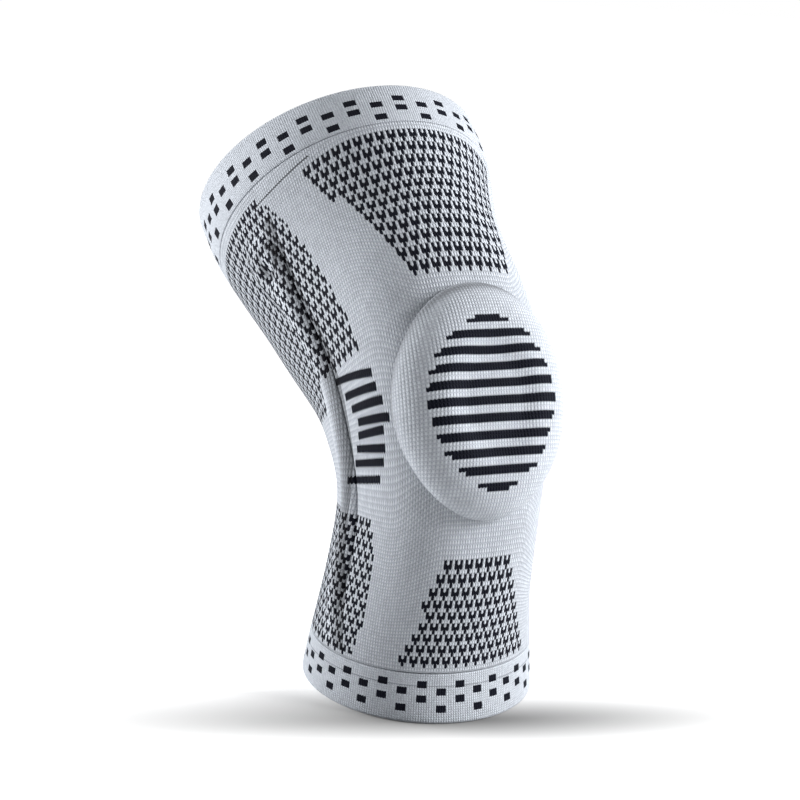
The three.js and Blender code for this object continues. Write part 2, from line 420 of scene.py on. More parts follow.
def wall_profile(bottom, top, wall, low_radius, high_radius, rows):
    """Closed profile of a tube's wall: heights along the axis and depths."""
    high_heights, high_depths = rounded_end(top, 1, wall, high_radius)
    low_heights, low_depths = rounded_end(bottom, -1, wall, low_radius)
    middle = np.linspace(bottom + low_radius, top - high_radius, rows + 1)[1:-1]
    heights = [middle, high_heights, middle[::-1], low_heights[::-1]]
    depths = [0 * middle, high_depths, wall + 0 * middle, low_depths[::-1]]
    return np.concatenate(heights), np.concatenate(depths)


BODY_ROWS = 170
body_low, body_high = LOWER_SEAM + SEAM_GAP / 2, UPPER_SEAM - SEAM_GAP / 2
body_profile = wall_profile(body_low, body_high, BODY_WALL, SEAM_ROUNDING, SEAM_ROUNDING, BODY_ROWS)
print("the tube's profile has", len(body_profile[0]), "points")

# %% Knit a tube from its profile
TUBE_COLUMNS = 192


def knit_tube(name, profile, counter):
    """A closed wall round the leg. counter gives the stitches of the profile's rows."""
    heights, depths = profile
    turns = np.linspace(-math.pi, math.pi, TUBE_COLUMNS + 1)
    along = heights[:, None] / AXIS_LENGTH
    points = skin(along, turns[None, :-1], -depths[:, None])
    wales, courses = counter(along, turns[None, :], depths[:, None])
    return ringed_mesh(name, points, np.stack([wales, courses], -1))


def body_stitches(along, turns, depths):
    return stitches_at(along + 0 * turns, turns + 0 * along)


sleeve_body = dress(knit_tube("knit_tube", body_profile, body_stitches), "sleeve_body")

# %% [markdown]
# A cuff is knitted with its own stitch count, and its dashes repeat evenly round
# it. So its wales are even shares of the way round, as many as the repeats of the
# dash pattern need, and its courses run from the seam to the rim and on inside.

# %% The two cuffs
UPPER_REPEATS, UPPER_WALES_PER_REPEAT = 40, 10
LOWER_REPEATS, LOWER_WALES_PER_REPEAT = 36, 8
LOWER_CUFF_ROWS, UPPER_CUFF_ROWS = 24, 30
CUFF_COURSE = 1.15  # millimetres


def cuff_counter(repeats, wales_per_repeat, seam):
    """Stitches of a cuff: wales are even round the leg, courses run from the seam on."""

    def counter(along, turns, depths):
        from_seam = np.abs(along * AXIS_LENGTH - seam)
        folded = np.maximum(depths - CUFF_ROUNDING, 0)
        round_leg = read_grid(ARCS, along + 0 * turns, np.abs(turns) + 0 * along) / 2
        half_way_round = read_grid(ARCS, along, math.pi + 0 * along)
        wales = np.sign(turns) * round_leg / half_way_round * repeats * wales_per_repeat
        return wales, (from_seam + folded) / CUFF_COURSE + 0 * turns

    return counter


lower_profile = wall_profile(
    0, LOWER_SEAM - SEAM_GAP / 2, CUFF_WALL, CUFF_ROUNDING, SEAM_ROUNDING, LOWER_CUFF_ROWS
)
lower_counter = cuff_counter(LOWER_REPEATS, LOWER_WALES_PER_REPEAT, LOWER_SEAM)
lower_cuff = dress(knit_tube("knit_lower_cuff", lower_profile, lower_counter), "lower_cuff")

upper_profile = wall_profile(
    UPPER_SEAM + SEAM_GAP / 2, AXIS_LENGTH, CUFF_WALL, SEAM_ROUNDING, CUFF_ROUNDING, UPPER_CUFF_ROWS
)
upper_counter = cuff_counter(UPPER_REPEATS, UPPER_WALES_PER_REPEAT, UPPER_SEAM)
upper_cuff = dress(knit_tube("knit_upper_cuff", upper_profile, upper_counter), "upper_cuff")

# %% [markdown]
# The knit is stretched over the leg. Off the leg the tube would lie flat and be
# about a fifth narrower.

# %% [markdown]
# ## The kneecap pad
#
# Under the knit over the kneecap lies a soft ring with a hole for the kneecap. It
# shows as an oval cushion with a round shoulder and a shallow hollow inside. It
# is laid out in rings from the middle to the outline, and its height at each
# share of the radius is a round shoulder minus the hollow. A cloth simulation
# could blow it up, but the ring keeps its moulded form, so its section is given.

# %% Sizes of the pad, in millimetres
PAD_WIDTH = 94
PAD_HEIGHT = 118
PAD_THICKNESS = 11.4
PAD_SHOULDER = 0.38  # share of the radius
PAD_HOLLOW = 3.2
PAD_HOLLOW_INSIDE, PAD_HOLLOW_OUTSIDE = 0.3, 0.56  # shares of the radius
LAID_GAP = 0.15  # between the tube's surface and what is laid on it
PAD_RINGS = 60
PAD_COLUMNS = 160
PAD_CENTRE = KNEE_CENTRE / AXIS_LENGTH


def pad_rise(share):
    """Height of the pad over the knit at a share of its radius."""
    shoulder = np.minimum((1 - share) / PAD_SHOULDER, 1)
    hollow = PAD_HOLLOW * (1 - smoothstep(share, PAD_HOLLOW_INSIDE, PAD_HOLLOW_OUTSIDE))
    return PAD_THICKNESS * np.sqrt(np.maximum(1 - (1 - shoulder) ** 2, 0)) - hollow


def front_scale(along):
    """Millimetres up the front for a whole share of the axis."""
    return np.linalg.norm(skin(along + NUDGE, 0) - skin(along - NUDGE, 0)) / (2 * NUDGE)


def turn_of_arc(along, arc):
    """Turn at which a length round the leg is reached."""
    row = np.array([np.interp(along, FINE_SHARES, ARCS[:, j]) for j in range(len(FINE_TURNS))])
    return float(np.interp(arc, row, FINE_TURNS))


PAD_HALF_ALONG = PAD_HEIGHT / 2 / front_scale(PAD_CENTRE)
PAD_HALF_TURN = turn_of_arc(PAD_CENTRE, PAD_WIDTH / 2)
print("the pad reaches", round(math.degrees(PAD_HALF_TURN), 1), "degrees to each side")

# %% [markdown]
# The pad's own stitches are counted from its middle. Four courses make one dark
# stripe and the pale one under it. The stripes are pulled a little out of true:
# the upper ones lie closer together and climb at their right ends.

# %% Knit the pad
STRIPES = 11
COURSES_PER_STRIPE = 4
STRIPE_SPACING = 0.0159  # share of the axis from one stripe to the next
PAD_WALE = 1.4  # millimetres
UPPER_CROWDING, LOWER_CROWDING = 0.018, 0.005
RIGHT_CLIMB, SMILE = 0.32, 0.09  # stripes, at the pad's outline
CLIMB_FROM, CLIMB_ON = -1, 1.5  # stripes above the pad's middle between which the climb sets in


def pad_stitches(along, turn):
    wales = np.sign(turn) * read_grid(ARCS, along, np.abs(turn)) / PAD_WALE
    up = (along - PAD_CENTRE) / STRIPE_SPACING
    out = (turn / PAD_HALF_TURN) ** 2
    stripe = up + np.where(up > 0, UPPER_CROWDING, LOWER_CROWDING) * up**2 + SMILE * out
    stripe = stripe - np.where(turn < 0, RIGHT_CLIMB * smoothstep(up, CLIMB_FROM, CLIMB_ON), 0) * out
    return wales, stripe * COURSES_PER_STRIPE


def kneecap_pad():
    shares = np.sin(np.linspace(0, math.pi / 2, PAD_RINGS + 1))[1:]
    angles = np.linspace(0, 2 * math.pi, PAD_COLUMNS + 1)[:-1]
    top, under = shares[:, None], shares[::-1][:, None]
    share = np.concatenate([top, under])
    rise = np.concatenate([pad_rise(top), 0 * under])
    along = PAD_CENTRE + PAD_HALF_ALONG * share * np.cos(angles)
    turn = PAD_HALF_TURN * share * np.sin(angles)
    points = skin(along, turn, LAID_GAP + rise)
    return capped_mesh("knit_kneecap_pad", points, np.stack(pad_stitches(along, turn), -1))


pad = dress(kneecap_pad(), "patella_pad")

# %% [markdown]
# ## The side stays
#
# A flat spring in a knitted channel runs up each side of the knee and keeps the
# sleeve from sliding down. The channel shows as a narrow swelling with a round
# cap near the top, which has a dimple in it. It could be pulled up out of the
# tube with proportional editing, but then both sides would hardly be alike. So
# each is a strip with a curved top, laid on the knit. It counts the same stitches
# as the knit under it, so that the houndstooth runs on over it.

# %% Sizes of the stays, in millimetres
STAY_LOW_MARGIN = 14
STAY_HIGH_MARGIN = 18
STAY_WIDTH = 15
STAY_RISE = 4.0
STAY_ROUNDNESS = 2.4  # power of the curve across the top
STAY_TURN = 87  # degrees from the front
STAY_ROWS = 150
STAY_STEPS = 24
STAY_START = LOWER_SEAM + STAY_LOW_MARGIN
STAY_LENGTH = UPPER_SEAM - STAY_HIGH_MARGIN - STAY_START
DIMPLE_REACH = 0.885  # share of the stay's length
DIMPLE_DEPTH, DIMPLE_SIZE = 4.0, 5.5

# A share of the stay's length, then width and rise as shares of the stay's
STAY_FORM = np.array(
    [
        (0.0, 0.4, 0.0),
        (0.04, 0.8, 0.45),
        (0.12, 1.0, 0.9),
        (0.45, 1.0, 1.0),
        (0.72, 1.0, 0.95),
        (0.8, 1.35, 0.9),
        (0.89, 1.95, 0.85),
        (0.96, 1.6, 0.6),
        (1.0, 0.6, 0.0),
    ]
)
STAY_WIDTHS, STAY_RISES = 1, 2
print("a stay is", STAY_LENGTH, "mm long and", STAY_WIDTH, "mm wide at the knee")


# %% Knit a stay's channel
def turn_scale(along, turn):
    """Millimetres round the leg for a radian of turn."""
    return np.linalg.norm(skin(along, turn + NUDGE) - skin(along, turn - NUDGE), axis=-1) / (2 * NUDGE)


def side_stay(name, side):
    """side is 1 for the left one, as one looks at the front, and -1 for the right one."""
    reach = np.linspace(0, 1, STAY_ROWS + 1)[:, None]
    across = np.linspace(-1, 1, STAY_STEPS + 1) * side
    across = np.concatenate([across, across[-2:0:-1]])[None, :]
    upper = np.concatenate([np.ones(STAY_STEPS + 1), np.zeros(STAY_STEPS - 1)])[None, :]
    along = (STAY_START + STAY_LENGTH * reach) / AXIS_LENGTH
    middle = math.radians(STAY_TURN) * side
    half_width = STAY_WIDTH / 2 * read_table(STAY_FORM, STAY_WIDTHS, reach)
    turn = middle + across * half_width / turn_scale(along, middle + 0 * along)
    rise = STAY_RISE * np.maximum(read_table(STAY_FORM, STAY_RISES, reach), 0)
    up_from_dimple = (reach - DIMPLE_REACH) * STAY_LENGTH
    from_dimple = np.hypot(up_from_dimple / DIMPLE_SIZE, across * half_width / DIMPLE_SIZE)
    dimple = DIMPLE_DEPTH * np.exp(-(from_dimple**2))
    height = upper * (rise * (1 - np.abs(across) ** STAY_ROUNDNESS) - dimple * (1 - across**2))
    points = skin(along, turn, LAID_GAP + np.maximum(height, 0))
    counts = np.stack(stitches_at(along, turn), -1)
    return capped_mesh(name, points, counts)


stays = [
    dress(side_stay("knit_stay_" + word, side), "side_stay_" + word)
    for word, side in (("left", 1), ("right", -1))
]

# %% [markdown]
# ## Working with shader nodes
#
# A knit material is a lot of small sums on the stitch count. A few helpers keep
# them short: one adds a math node and gives back its output, others compare values
# and join masks, and the last makes a node group with named inputs and outputs.


# %% Helpers for nodes
def put(tree, operation, *values):
    """A math node of this operation on numbers or outputs of other nodes."""
    node = tree.nodes.new("ShaderNodeMath")
    node.operation = operation
    for socket, value in zip(node.inputs, values):
        if isinstance(value, bpy.types.NodeSocket):
            tree.links.new(value, socket)
        else:
            socket.default_value = value
    return node.outputs[0]


def square(tree, value):
    return put(tree, "MULTIPLY", value, value)


def between(tree, value, low, high):
    above, below = put(tree, "GREATER_THAN", value, low), put(tree, "LESS_THAN", value, high)
    return put(tree, "MULTIPLY", above, below)


def either(tree, *masks):
    total = masks[0]
    for mask in masks[1:]:
        total = put(tree, "MAXIMUM", total, mask)
    return total


def both(tree, *masks):
    total = masks[0]
    for mask in masks[1:]:
        total = put(tree, "MULTIPLY", total, mask)
    return total


def new_group(name, inputs, outputs):
    """A group with sockets. inputs and outputs are lists of names with their kinds."""
    tree = bpy.data.node_groups.new(name, "ShaderNodeTree")
    for socket, kind in inputs:
        tree.interface.new_socket(name=socket, in_out="INPUT", socket_type="NodeSocket" + kind)
    for socket, kind in outputs:
        tree.interface.new_socket(name=socket, in_out="OUTPUT", socket_type="NodeSocket" + kind)
    return tree, tree.nodes.new("NodeGroupInput").outputs, tree.nodes.new("NodeGroupOutput").inputs


print("math nodes are added with put(), masks joined with both() and either()")

# %% [markdown]
# ## One stitch
#
# A plain knitted stitch looks like a V: two legs of yarn that meet at the bottom.
# Shifting the course up towards both sides of a wale turns the flat grid into
# rows of Vs, and everything that is rounded to whole stitches after that gets the
# toothed edge of real knitting for free. The group gives the whole wale and
# course, the course before rounding, and the height of the yarn within the
# stitch: it has a hole between each two wales and a furrow between courses. It
# also gives each stitch a random number of its own, which stays the same in
# every run.


# %% The stitch group
LEG_SLOPE = 0.32  # courses that a leg climbs from the middle to the side of its wale
HOLE_DEPTH, HOLE_SHARPNESS = 0.85, 2.0
FURROW_DEPTH, FURROW_SHARPNESS = 0.7, 0.5


def stitch_group():
    tree, given, wanted = new_group(
        "knit stitch",
        [("Stitches", "Vector")],
        [
            ("Wale", "Float"),
            ("Course", "Float"),
            ("Lifted", "Float"),
            ("Height", "Float"),
            ("Yarn", "Float"),
        ],
    )
    split = tree.nodes.new("ShaderNodeSeparateXYZ")
    tree.links.new(given["Stitches"], split.inputs[0])
    u, v = split.outputs[0], split.outputs[1]
    wale = put(tree, "FLOOR", u)
    x = put(tree, "SUBTRACT", u, wale)
    side = put(tree, "ABSOLUTE", put(tree, "MULTIPLY_ADD", x, 2.0, -1.0))
    lifted = put(tree, "MULTIPLY_ADD", side, -LEG_SLOPE, v)
    course = put(tree, "FLOOR", lifted)
    y = put(tree, "SUBTRACT", lifted, course)
    along_leg = put(tree, "SINE", put(tree, "MULTIPLY", y, math.pi))
    beside = put(tree, "SUBTRACT", 1.0, put(tree, "SINE", put(tree, "MULTIPLY", x, math.pi)))
    beside = put(tree, "MULTIPLY", beside, HOLE_DEPTH)
    hole = put(tree, "MULTIPLY", beside, put(tree, "POWER", along_leg, HOLE_SHARPNESS))
    from_furrow = put(tree, "POWER", along_leg, FURROW_SHARPNESS)
    furrow = put(tree, "MULTIPLY", put(tree, "SUBTRACT", 1.0, from_furrow), FURROW_DEPTH)
    height = put(tree, "MULTIPLY", put(tree, "SUBTRACT", 1.0, hole), put(tree, "SUBTRACT", 1.0, furrow))
    noise = tree.nodes.new("ShaderNodeTexWhiteNoise")
    noise.noise_dimensions = "2D"
    at = tree.nodes.new("ShaderNodeCombineXYZ")
    tree.links.new(wale, at.inputs[0])
    tree.links.new(course, at.inputs[1])
    tree.links.new(at.outputs[0], noise.inputs["Vector"])
    tree.links.new(wale, wanted["Wale"])
    tree.links.new(course, wanted["Course"])
    tree.links.new(lifted, wanted["Lifted"])
    tree.links.new(height, wanted["Height"])
    tree.links.new(noise.outputs["Value"], wanted["Yarn"])
    return tree


STITCH = stitch_group()
print("stitch group has", len(STITCH.nodes), "nodes")

# %% [markdown]
# ## Houndstooth
#
# The dark and pale teeth of the panels are a houndstooth of four wales by three
# courses: two prongs on top, a bar under them and a single stem. Each row of
# motifs is shifted by half a motif. The group also gives the middle wale and the
# row of the motif that a stitch belongs to, so that a panel can keep or drop
# whole motifs. Wales and courses are whole numbers here, so they are told apart
# by comparing them with halves. An image could hold such a pattern too, but sums
# on the stitches stay sharp from near by and always meet the knit's own edges.

# %% The houndstooth group
MOTIF_WALES, MOTIF_COURSES = 4, 3


def houndstooth_group():
    tree, given, wanted = new_group(
        "houndstooth",
        [("Wale", "Float"), ("Course", "Float")],
        [("Dark", "Float"), ("Motif Wale", "Float"), ("Motif Row", "Float")],
    )
    row = put(tree, "FLOOR", put(tree, "DIVIDE", put(tree, "ADD", given["Course"], 0.5), MOTIF_COURSES))
    shift = put(tree, "MULTIPLY", put(tree, "FLOORED_MODULO", row, 2), MOTIF_WALES / 2)
    column = put(tree, "FLOORED_MODULO", put(tree, "ADD", given["Wale"], shift), MOTIF_WALES)
    line = put(tree, "SUBTRACT", given["Course"], put(tree, "MULTIPLY", row, MOTIF_COURSES))
    even = put(tree, "LESS_THAN", put(tree, "MODULO", column, 2), 0.5)
    prongs = both(tree, even, put(tree, "GREATER_THAN", line, 1.5))
    bar = both(tree, put(tree, "LESS_THAN", column, 2.5), between(tree, line, 0.5, 1.5))
    stem = both(tree, between(tree, column, 0.5, 1.5), put(tree, "LESS_THAN", line, 0.5))
    tree.links.new(either(tree, prongs, bar, stem), wanted["Dark"])
    motif_wale = put(tree, "ADD", put(tree, "SUBTRACT", given["Wale"], column), 1.5)
    tree.links.new(motif_wale, wanted["Motif Wale"])
    tree.links.new(row, wanted["Motif Row"])
    return tree


HOUNDSTOOTH = houndstooth_group()
print("houndstooth group has", len(HOUNDSTOOTH.nodes), "nodes")

# %% [markdown]
# ## Two yarns
#
# Every knitted piece is made of the same two yarns, a light cool grey and a near
# black. A group mixes them by the pattern's mask. It paints shade into the gaps
# between the legs of the stitches, paints shade along folds, grooves and rims and a
# highlight beside a fold, gives each stitch a slightly different tone, and adds the
# soft clouding of a heathered yarn.

# %% The yarn group
PALE_YARN = (0.40, 0.425, 0.465, 1)
DARK_YARN = (0.004, 0.005, 0.010, 1)
PALE_ROUGHNESS, DARK_ROUGHNESS = 0.85, 0.7
STITCH_SPREAD, CLOUD_SPREAD = 0.14, 0.12  # shares by which the tone varies
CLOUD_SCALE, CLOUD_DETAIL = 55, 3


def yarn_group():
    tree, given, wanted = new_group(
        "two yarns",
        [
            ("Dark", "Float"),
            ("Height", "Float"),
            ("Yarn", "Float"),
            ("Gap Shade", "Float"),
            ("Painted Shade And Highlight", "Float"),
        ],
        [("Color", "Color"), ("Roughness", "Float")],
    )
    cloud = tree.nodes.new("ShaderNodeTexNoise")
    cloud.inputs["Scale"].default_value = CLOUD_SCALE
    cloud.inputs["Detail"].default_value = CLOUD_DETAIL
    where = tree.nodes.new("ShaderNodeTexCoord")
    tree.links.new(where.outputs["Object"], cloud.inputs["Vector"])
    # Painted shade in the gaps between the legs of the stitches, deepest where the yarn is lowest
    depth = put(tree, "SUBTRACT", 1.0, given["Height"])
    gap = put(tree, "SUBTRACT", 1.0, put(tree, "MULTIPLY", depth, given["Gap Shade"]))
    tone = put(tree, "MULTIPLY_ADD", given["Yarn"], STITCH_SPREAD, 1 - STITCH_SPREAD / 2)
    clouding = put(tree, "MULTIPLY_ADD", cloud.outputs["Fac"], CLOUD_SPREAD, 1 - CLOUD_SPREAD / 2)
    tone = put(tree, "MULTIPLY", tone, clouding)
    # Painted shade along folds, grooves and rims, and a painted highlight where the value is below zero
    unshaded = put(tree, "SUBTRACT", 1.0, given["Painted Shade And Highlight"])
    light = put(tree, "MULTIPLY", put(tree, "MULTIPLY", gap, tone), unshaded)
    mix = tree.nodes.new("ShaderNodeMix")
    mix.data_type = "RGBA"
    tree.links.new(given["Dark"], mix.inputs["Factor"])
    mix.inputs["A"].default_value = PALE_YARN
    mix.inputs["B"].default_value = DARK_YARN
    scale = tree.nodes.new("ShaderNodeVectorMath")
    scale.operation = "SCALE"
    tree.links.new(mix.outputs["Result"], scale.inputs[0])
    tree.links.new(light, scale.inputs["Scale"])
    tree.links.new(scale.outputs[0], wanted["Color"])
    roughness = put(tree, "MULTIPLY_ADD", given["Dark"], DARK_ROUGHNESS - PALE_ROUGHNESS, PALE_ROUGHNESS)
    tree.links.new(roughness, wanted["Roughness"])
    return tree


YARNS = yarn_group()
print("yarn group has", len(YARNS.nodes), "nodes")

# %% [markdown]
# ## A knit material
#
# All four knit materials share one recipe: count the stitch, ask the pattern for
# its mask, mix the yarns, and raise the legs of the stitches with a bump. What
# differs is handed in: the pattern and the painted shade of folds, grooves and rims
# as functions that add their own nodes, and how much shade is painted into the gaps
# between the legs as a number.

# %% The recipe for a knit material
SHEEN, SHEEN_ROUGHNESS, KNIT_SPECULAR = 0.01, 0.4, 0.04
TUBE_GAP_SHADE = 0.75
RELIEF = 0.5  # millimetres


def use_group(tree, group):
    node = tree.nodes.new("ShaderNodeGroup")
    node.node_tree = group
    return node


def knit_material(name, pattern, painted_shade=None, gap_shade=TUBE_GAP_SHADE):
    material = bpy.data.materials.new(name)
    material.use_nodes = True
    tree = material.node_tree
    shader = tree.nodes["Principled BSDF"]
    counts = tree.nodes.new("ShaderNodeUVMap")
    counts.uv_map = KNIT_MAP
    stitch = use_group(tree, STITCH)
    tree.links.new(counts.outputs[0], stitch.inputs["Stitches"])
    yarns = use_group(tree, YARNS)
    tree.links.new(pattern(tree, stitch.outputs), yarns.inputs["Dark"])
    tree.links.new(stitch.outputs["Height"], yarns.inputs["Height"])
    tree.links.new(stitch.outputs["Yarn"], yarns.inputs["Yarn"])
    # How much shade is painted into the gaps between the legs of the stitches
    yarns.inputs["Gap Shade"].default_value = gap_shade
    # Painted shade along folds, grooves and rims, with a painted highlight on the stay's back
    if painted_shade:
        tree.links.new(painted_shade(tree, stitch.outputs, counts.outputs[0]), yarns.inputs["Painted Shade And Highlight"])
    bump = tree.nodes.new("ShaderNodeBump")
    bump.inputs["Distance"].default_value = RELIEF * MM
    bump.inputs["Strength"].default_value = 1.0
    tree.links.new(stitch.outputs["Height"], bump.inputs["Height"])
    tree.links.new(yarns.outputs["Color"], shader.inputs["Base Color"])
    tree.links.new(yarns.outputs["Roughness"], shader.inputs["Roughness"])
    tree.links.new(bump.outputs[0], shader.inputs["Normal"])
    shader.inputs["Sheen Weight"].default_value = SHEEN
    shader.inputs["Sheen Roughness"].default_value = SHEEN_ROUGHNESS
    shader.inputs["Specular IOR Level"].default_value = KNIT_SPECULAR
    print("material", name, "has", len(tree.nodes), "nodes")
    return material


print("the legs of the stitches stand out by", RELIEF, "mm")

# %% [markdown]
# ## The panels of the tube
#
# The tube has a houndstooth panel on the front of the thigh and one on the shin,
# both wider away from the knee, and a panel over the stay on each side above and
# below the knee. Beside the kneecap, eight short bars climb up each side. The
# places below were read off as shares of the axis and lengths round the leg, and
# are turned into whole stitches.

# %% Places of the panels: shares of the axis, rows of motifs, and millimetres round the leg
FRONT_UPPER = {"low": 0.573, "rows": 11, "half_low": 28, "half_high": 61}
FRONT_LOWER = {"low": 0.087, "rows": 9, "half_low": 37.5, "half_high": 19}
FRONT_PANEL_LENGTH = 0.2  # roughly, to know how wide a wale is at a front panel's top
SIDE_UPPER = {"low": 0.525, "rows": 18, "front": 63, "slant": 18.5, "flare": 14.4, "flare_power": 5}
SIDE_LOWER = {"low": 0.084, "rows": 14, "front": 56, "flare": 5, "flare_power": 4}
SIDE_UPPER_DROP, SIDE_UPPER_DROP_ARC = 0.478, 97  # the panel reaches further down behind the stay
SIDE_BACK, SIDE_BACK_LOW = 195, 150

# Bars from the top down: front end (share, length round the leg), then back end
BARS = [
    (0.492, 57.4, 0.512, 88.7),
    (0.475, 55.7, 0.483, 82.7),
    (0.458, 52.8, 0.462, 78.2),
    (0.438, 49.7, 0.442, 72.4),
    (0.425, 52.7, 0.425, 73.6),
    (0.404, 52.9, 0.408, 75.6),
    (0.388, 54.3, 0.388, 78.2),
    (0.367, 56.6, 0.363, 80.5),
]
BAR_THICKNESS = 3.3  # millimetres
print("the front panels have", FRONT_UPPER["rows"], "and", FRONT_LOWER["rows"], "rows of motifs")


# %% Whole motifs, and the front panels
def teeth_from(tree, wale, course, start):
    """Outputs of a houndstooth whose first row starts at a course, and the motif's place."""
    motif = use_group(tree, HOUNDSTOOTH)
    tree.links.new(wale, motif.inputs["Wale"])
    tree.links.new(put(tree, "SUBTRACT", course, start), motif.inputs["Course"])
    return motif.outputs


def front_panel(tree, wale, course, low, rows, half_low, half_high):
    """Whole motifs between slanting sides."""
    start = round(stitch_of(low, 0, FRONT)[1])
    motif = teeth_from(tree, wale, course, start)
    up = put(tree, "DIVIDE", motif["Motif Row"], rows - 1)
    narrow = half_low / changing(SHANK_WALE, THIGH_WALE, low)
    wide = half_high / changing(SHANK_WALE, THIGH_WALE, low + FRONT_PANEL_LENGTH)
    half = put(tree, "MULTIPLY_ADD", up, wide - narrow, narrow)
    inside = put(tree, "LESS_THAN", put(tree, "ABSOLUTE", motif["Motif Wale"]), half)
    return both(tree, motif["Dark"], inside, between(tree, motif["Motif Row"], -0.5, rows - 0.5))


print("the shin's panel starts at course", round(stitch_of(FRONT_LOWER["low"], 0, FRONT)[1]))

# %% [markdown]
# The side panels are cut off along curves and not by whole motifs, so their edges
# cut through some motifs. Their outlines are alike on the left and on the right,
# because they only ask how many wales a stitch is away from the front's middle.


# %% The side panels
def side_upper_panel(tree, wale, side_wale, course):
    """Cut off at a slanting front edge that flares to the back near the top."""
    panel = SIDE_UPPER
    start = round(stitch_of(panel["low"], 0)[1])
    motif = teeth_from(tree, wale, course, start)
    up = put(tree, "DIVIDE", put(tree, "SUBTRACT", course, start), panel["rows"] * MOTIF_COURSES)
    front = stitch_of(panel["low"], panel["front"])[0]
    flare = put(tree, "POWER", put(tree, "MAXIMUM", up, 0.0), panel["flare_power"])
    edge = put(tree, "MULTIPLY_ADD", flare, panel["flare"] / THIGH_WALE, front)
    edge = put(tree, "MULTIPLY_ADD", put(tree, "MAXIMUM", up, 0.0), panel["slant"] / THIGH_WALE, edge)
    drop_wale, drop_course = stitch_of(SIDE_UPPER_DROP, SIDE_UPPER_DROP_ARC)
    behind_drop = put(tree, "GREATER_THAN", side_wale, drop_wale)
    dropped = both(tree, behind_drop, put(tree, "GREATER_THAN", course, drop_course))
    low_enough = either(tree, put(tree, "GREATER_THAN", course, start - 0.5), dropped)
    below_top = put(tree, "LESS_THAN", up, 1.0)
    behind_edge = put(tree, "GREATER_THAN", side_wale, edge)
    before_back = put(tree, "LESS_THAN", side_wale, SIDE_BACK / THIGH_WALE)
    return both(tree, motif["Dark"], low_enough, below_top, behind_edge, before_back)


def side_lower_panel(tree, wale, side_wale, course):
    """Cut off at a front edge that is hollow like a bracket."""
    panel = SIDE_LOWER
    start = round(stitch_of(panel["low"], 0)[1])
    motif = teeth_from(tree, wale, course, start)
    up = put(tree, "DIVIDE", put(tree, "SUBTRACT", course, start), panel["rows"] * MOTIF_COURSES)
    from_middle = put(tree, "ABSOLUTE", put(tree, "MULTIPLY_ADD", up, 2.0, -1.0))
    from_middle = put(tree, "POWER", from_middle, panel["flare_power"])
    edge = put(tree, "MULTIPLY_ADD", from_middle, panel["flare"] / SHANK_WALE, panel["front"] / SHANK_WALE)
    behind_edge = put(tree, "GREATER_THAN", side_wale, edge)
    before_back = put(tree, "LESS_THAN", side_wale, SIDE_BACK_LOW / SHANK_WALE)
    inside = between(tree, motif["Motif Row"], -0.5, panel["rows"] - 0.5)
    return both(tree, motif["Dark"], inside, behind_edge, before_back)


print("the lower side panel starts at course", round(stitch_of(SIDE_LOWER["low"], 0)[1]))

# %% [markdown]
# A bar is a slanting line on the stitch count, with a thickness in courses. It is
# compared with the course before rounding, so its long edges are toothed.


# %% The bars
def bar_mask(tree, side_wale, lifted):
    """Bars that may slant, with the teeth of the stitches on their long edges."""
    masks = []
    for front_along, front, back_along, back in BARS:
        first, first_course = stitch_of(front_along, front)
        last, last_course = stitch_of(back_along, back)
        slant = (last_course - first_course) / (last - first)
        middle = put(tree, "MULTIPLY_ADD", side_wale, slant, first_course - slant * first - LEG_SLOPE / 2)
        thick = BAR_THICKNESS / AXIS_LENGTH
        courses = stitch_of(front_along + thick / 2, 0)[1] - stitch_of(front_along - thick / 2, 0)[1]
        off = put(tree, "ABSOLUTE", put(tree, "SUBTRACT", lifted, middle))
        near = put(tree, "LESS_THAN", off, courses / 2)
        masks.append(both(tree, near, between(tree, side_wale, first, last)))
    return either(tree, *masks)


print("there are", len(BARS), "bars on each side")


# %% The pattern of the tube
def body_pattern(tree, stitch):
    wale, course = stitch["Wale"], stitch["Course"]
    side_wale = put(tree, "ABSOLUTE", put(tree, "ADD", wale, 0.5))
    return either(
        tree,
        front_panel(tree, wale, course, **FRONT_UPPER),
        front_panel(tree, wale, course, **FRONT_LOWER),
        side_upper_panel(tree, wale, side_wale, course),
        side_lower_panel(tree, wale, side_wale, course),
        bar_mask(tree, side_wale, stitch["Lifted"]),
    )


print("the tube's pattern joins two front panels, two side panels and the bars")

# %% [markdown]
# Where the knit is drawn in beside a stay, it lies in a soft fold that light hardly
# reaches, and the stay's own back catches the light. A ring is pressed in over the
# stay's upper end. A sewn tuck joins the front panel and the side panel near the
# upper cuff. They are finer than the mesh, so they are painted into the colour by
# stitch counts: painted shade in the fold, the ring and the tuck, and a painted
# highlight on the stay's back.

# %% Painted shade and highlight of the tube's folds
FOLD_LINE = (45.3, 0.305, -0.00136)  # wale of the fold: a number, then for a course, then for its square
FOLD_EDGE = -0.3  # wales behind that line from which there is shade: just in front of it
FOLD_WALES, FOLD_SHADE = 5.5, 0.55
# A painted highlight on the stay's back, some wales behind the fold
RIDGE_PLACE, RIDGE_WALES, RIDGE_LIGHT = 9.0, 3.0, 0.3
FOLD_START, FOLD_END = 14, 128  # courses
RING_WALE, RING_COURSE = 70.8, 119
RING_WALES, RING_COURSES = 4.6, 3.6  # its half width and half height
RING_THICKNESS, RING_SHADE = 0.35, 0.45
TUCK_COURSE, TUCK_THICKNESS, TUCK_FRONT, TUCK_BACK, TUCK_SHADE = 133.2, 0.45, 39.4, 67.6, 0.8
# The most shade that is painted in one place
DARKEST = 0.9


def bell(tree, value, middle, width):
    """1 at the middle, falling to 0 on both sides over about this width."""
    off = put(tree, "DIVIDE", put(tree, "SUBTRACT", value, middle), width)
    return put(tree, "EXPONENT", put(tree, "MULTIPLY", square(tree, off), -1.0))
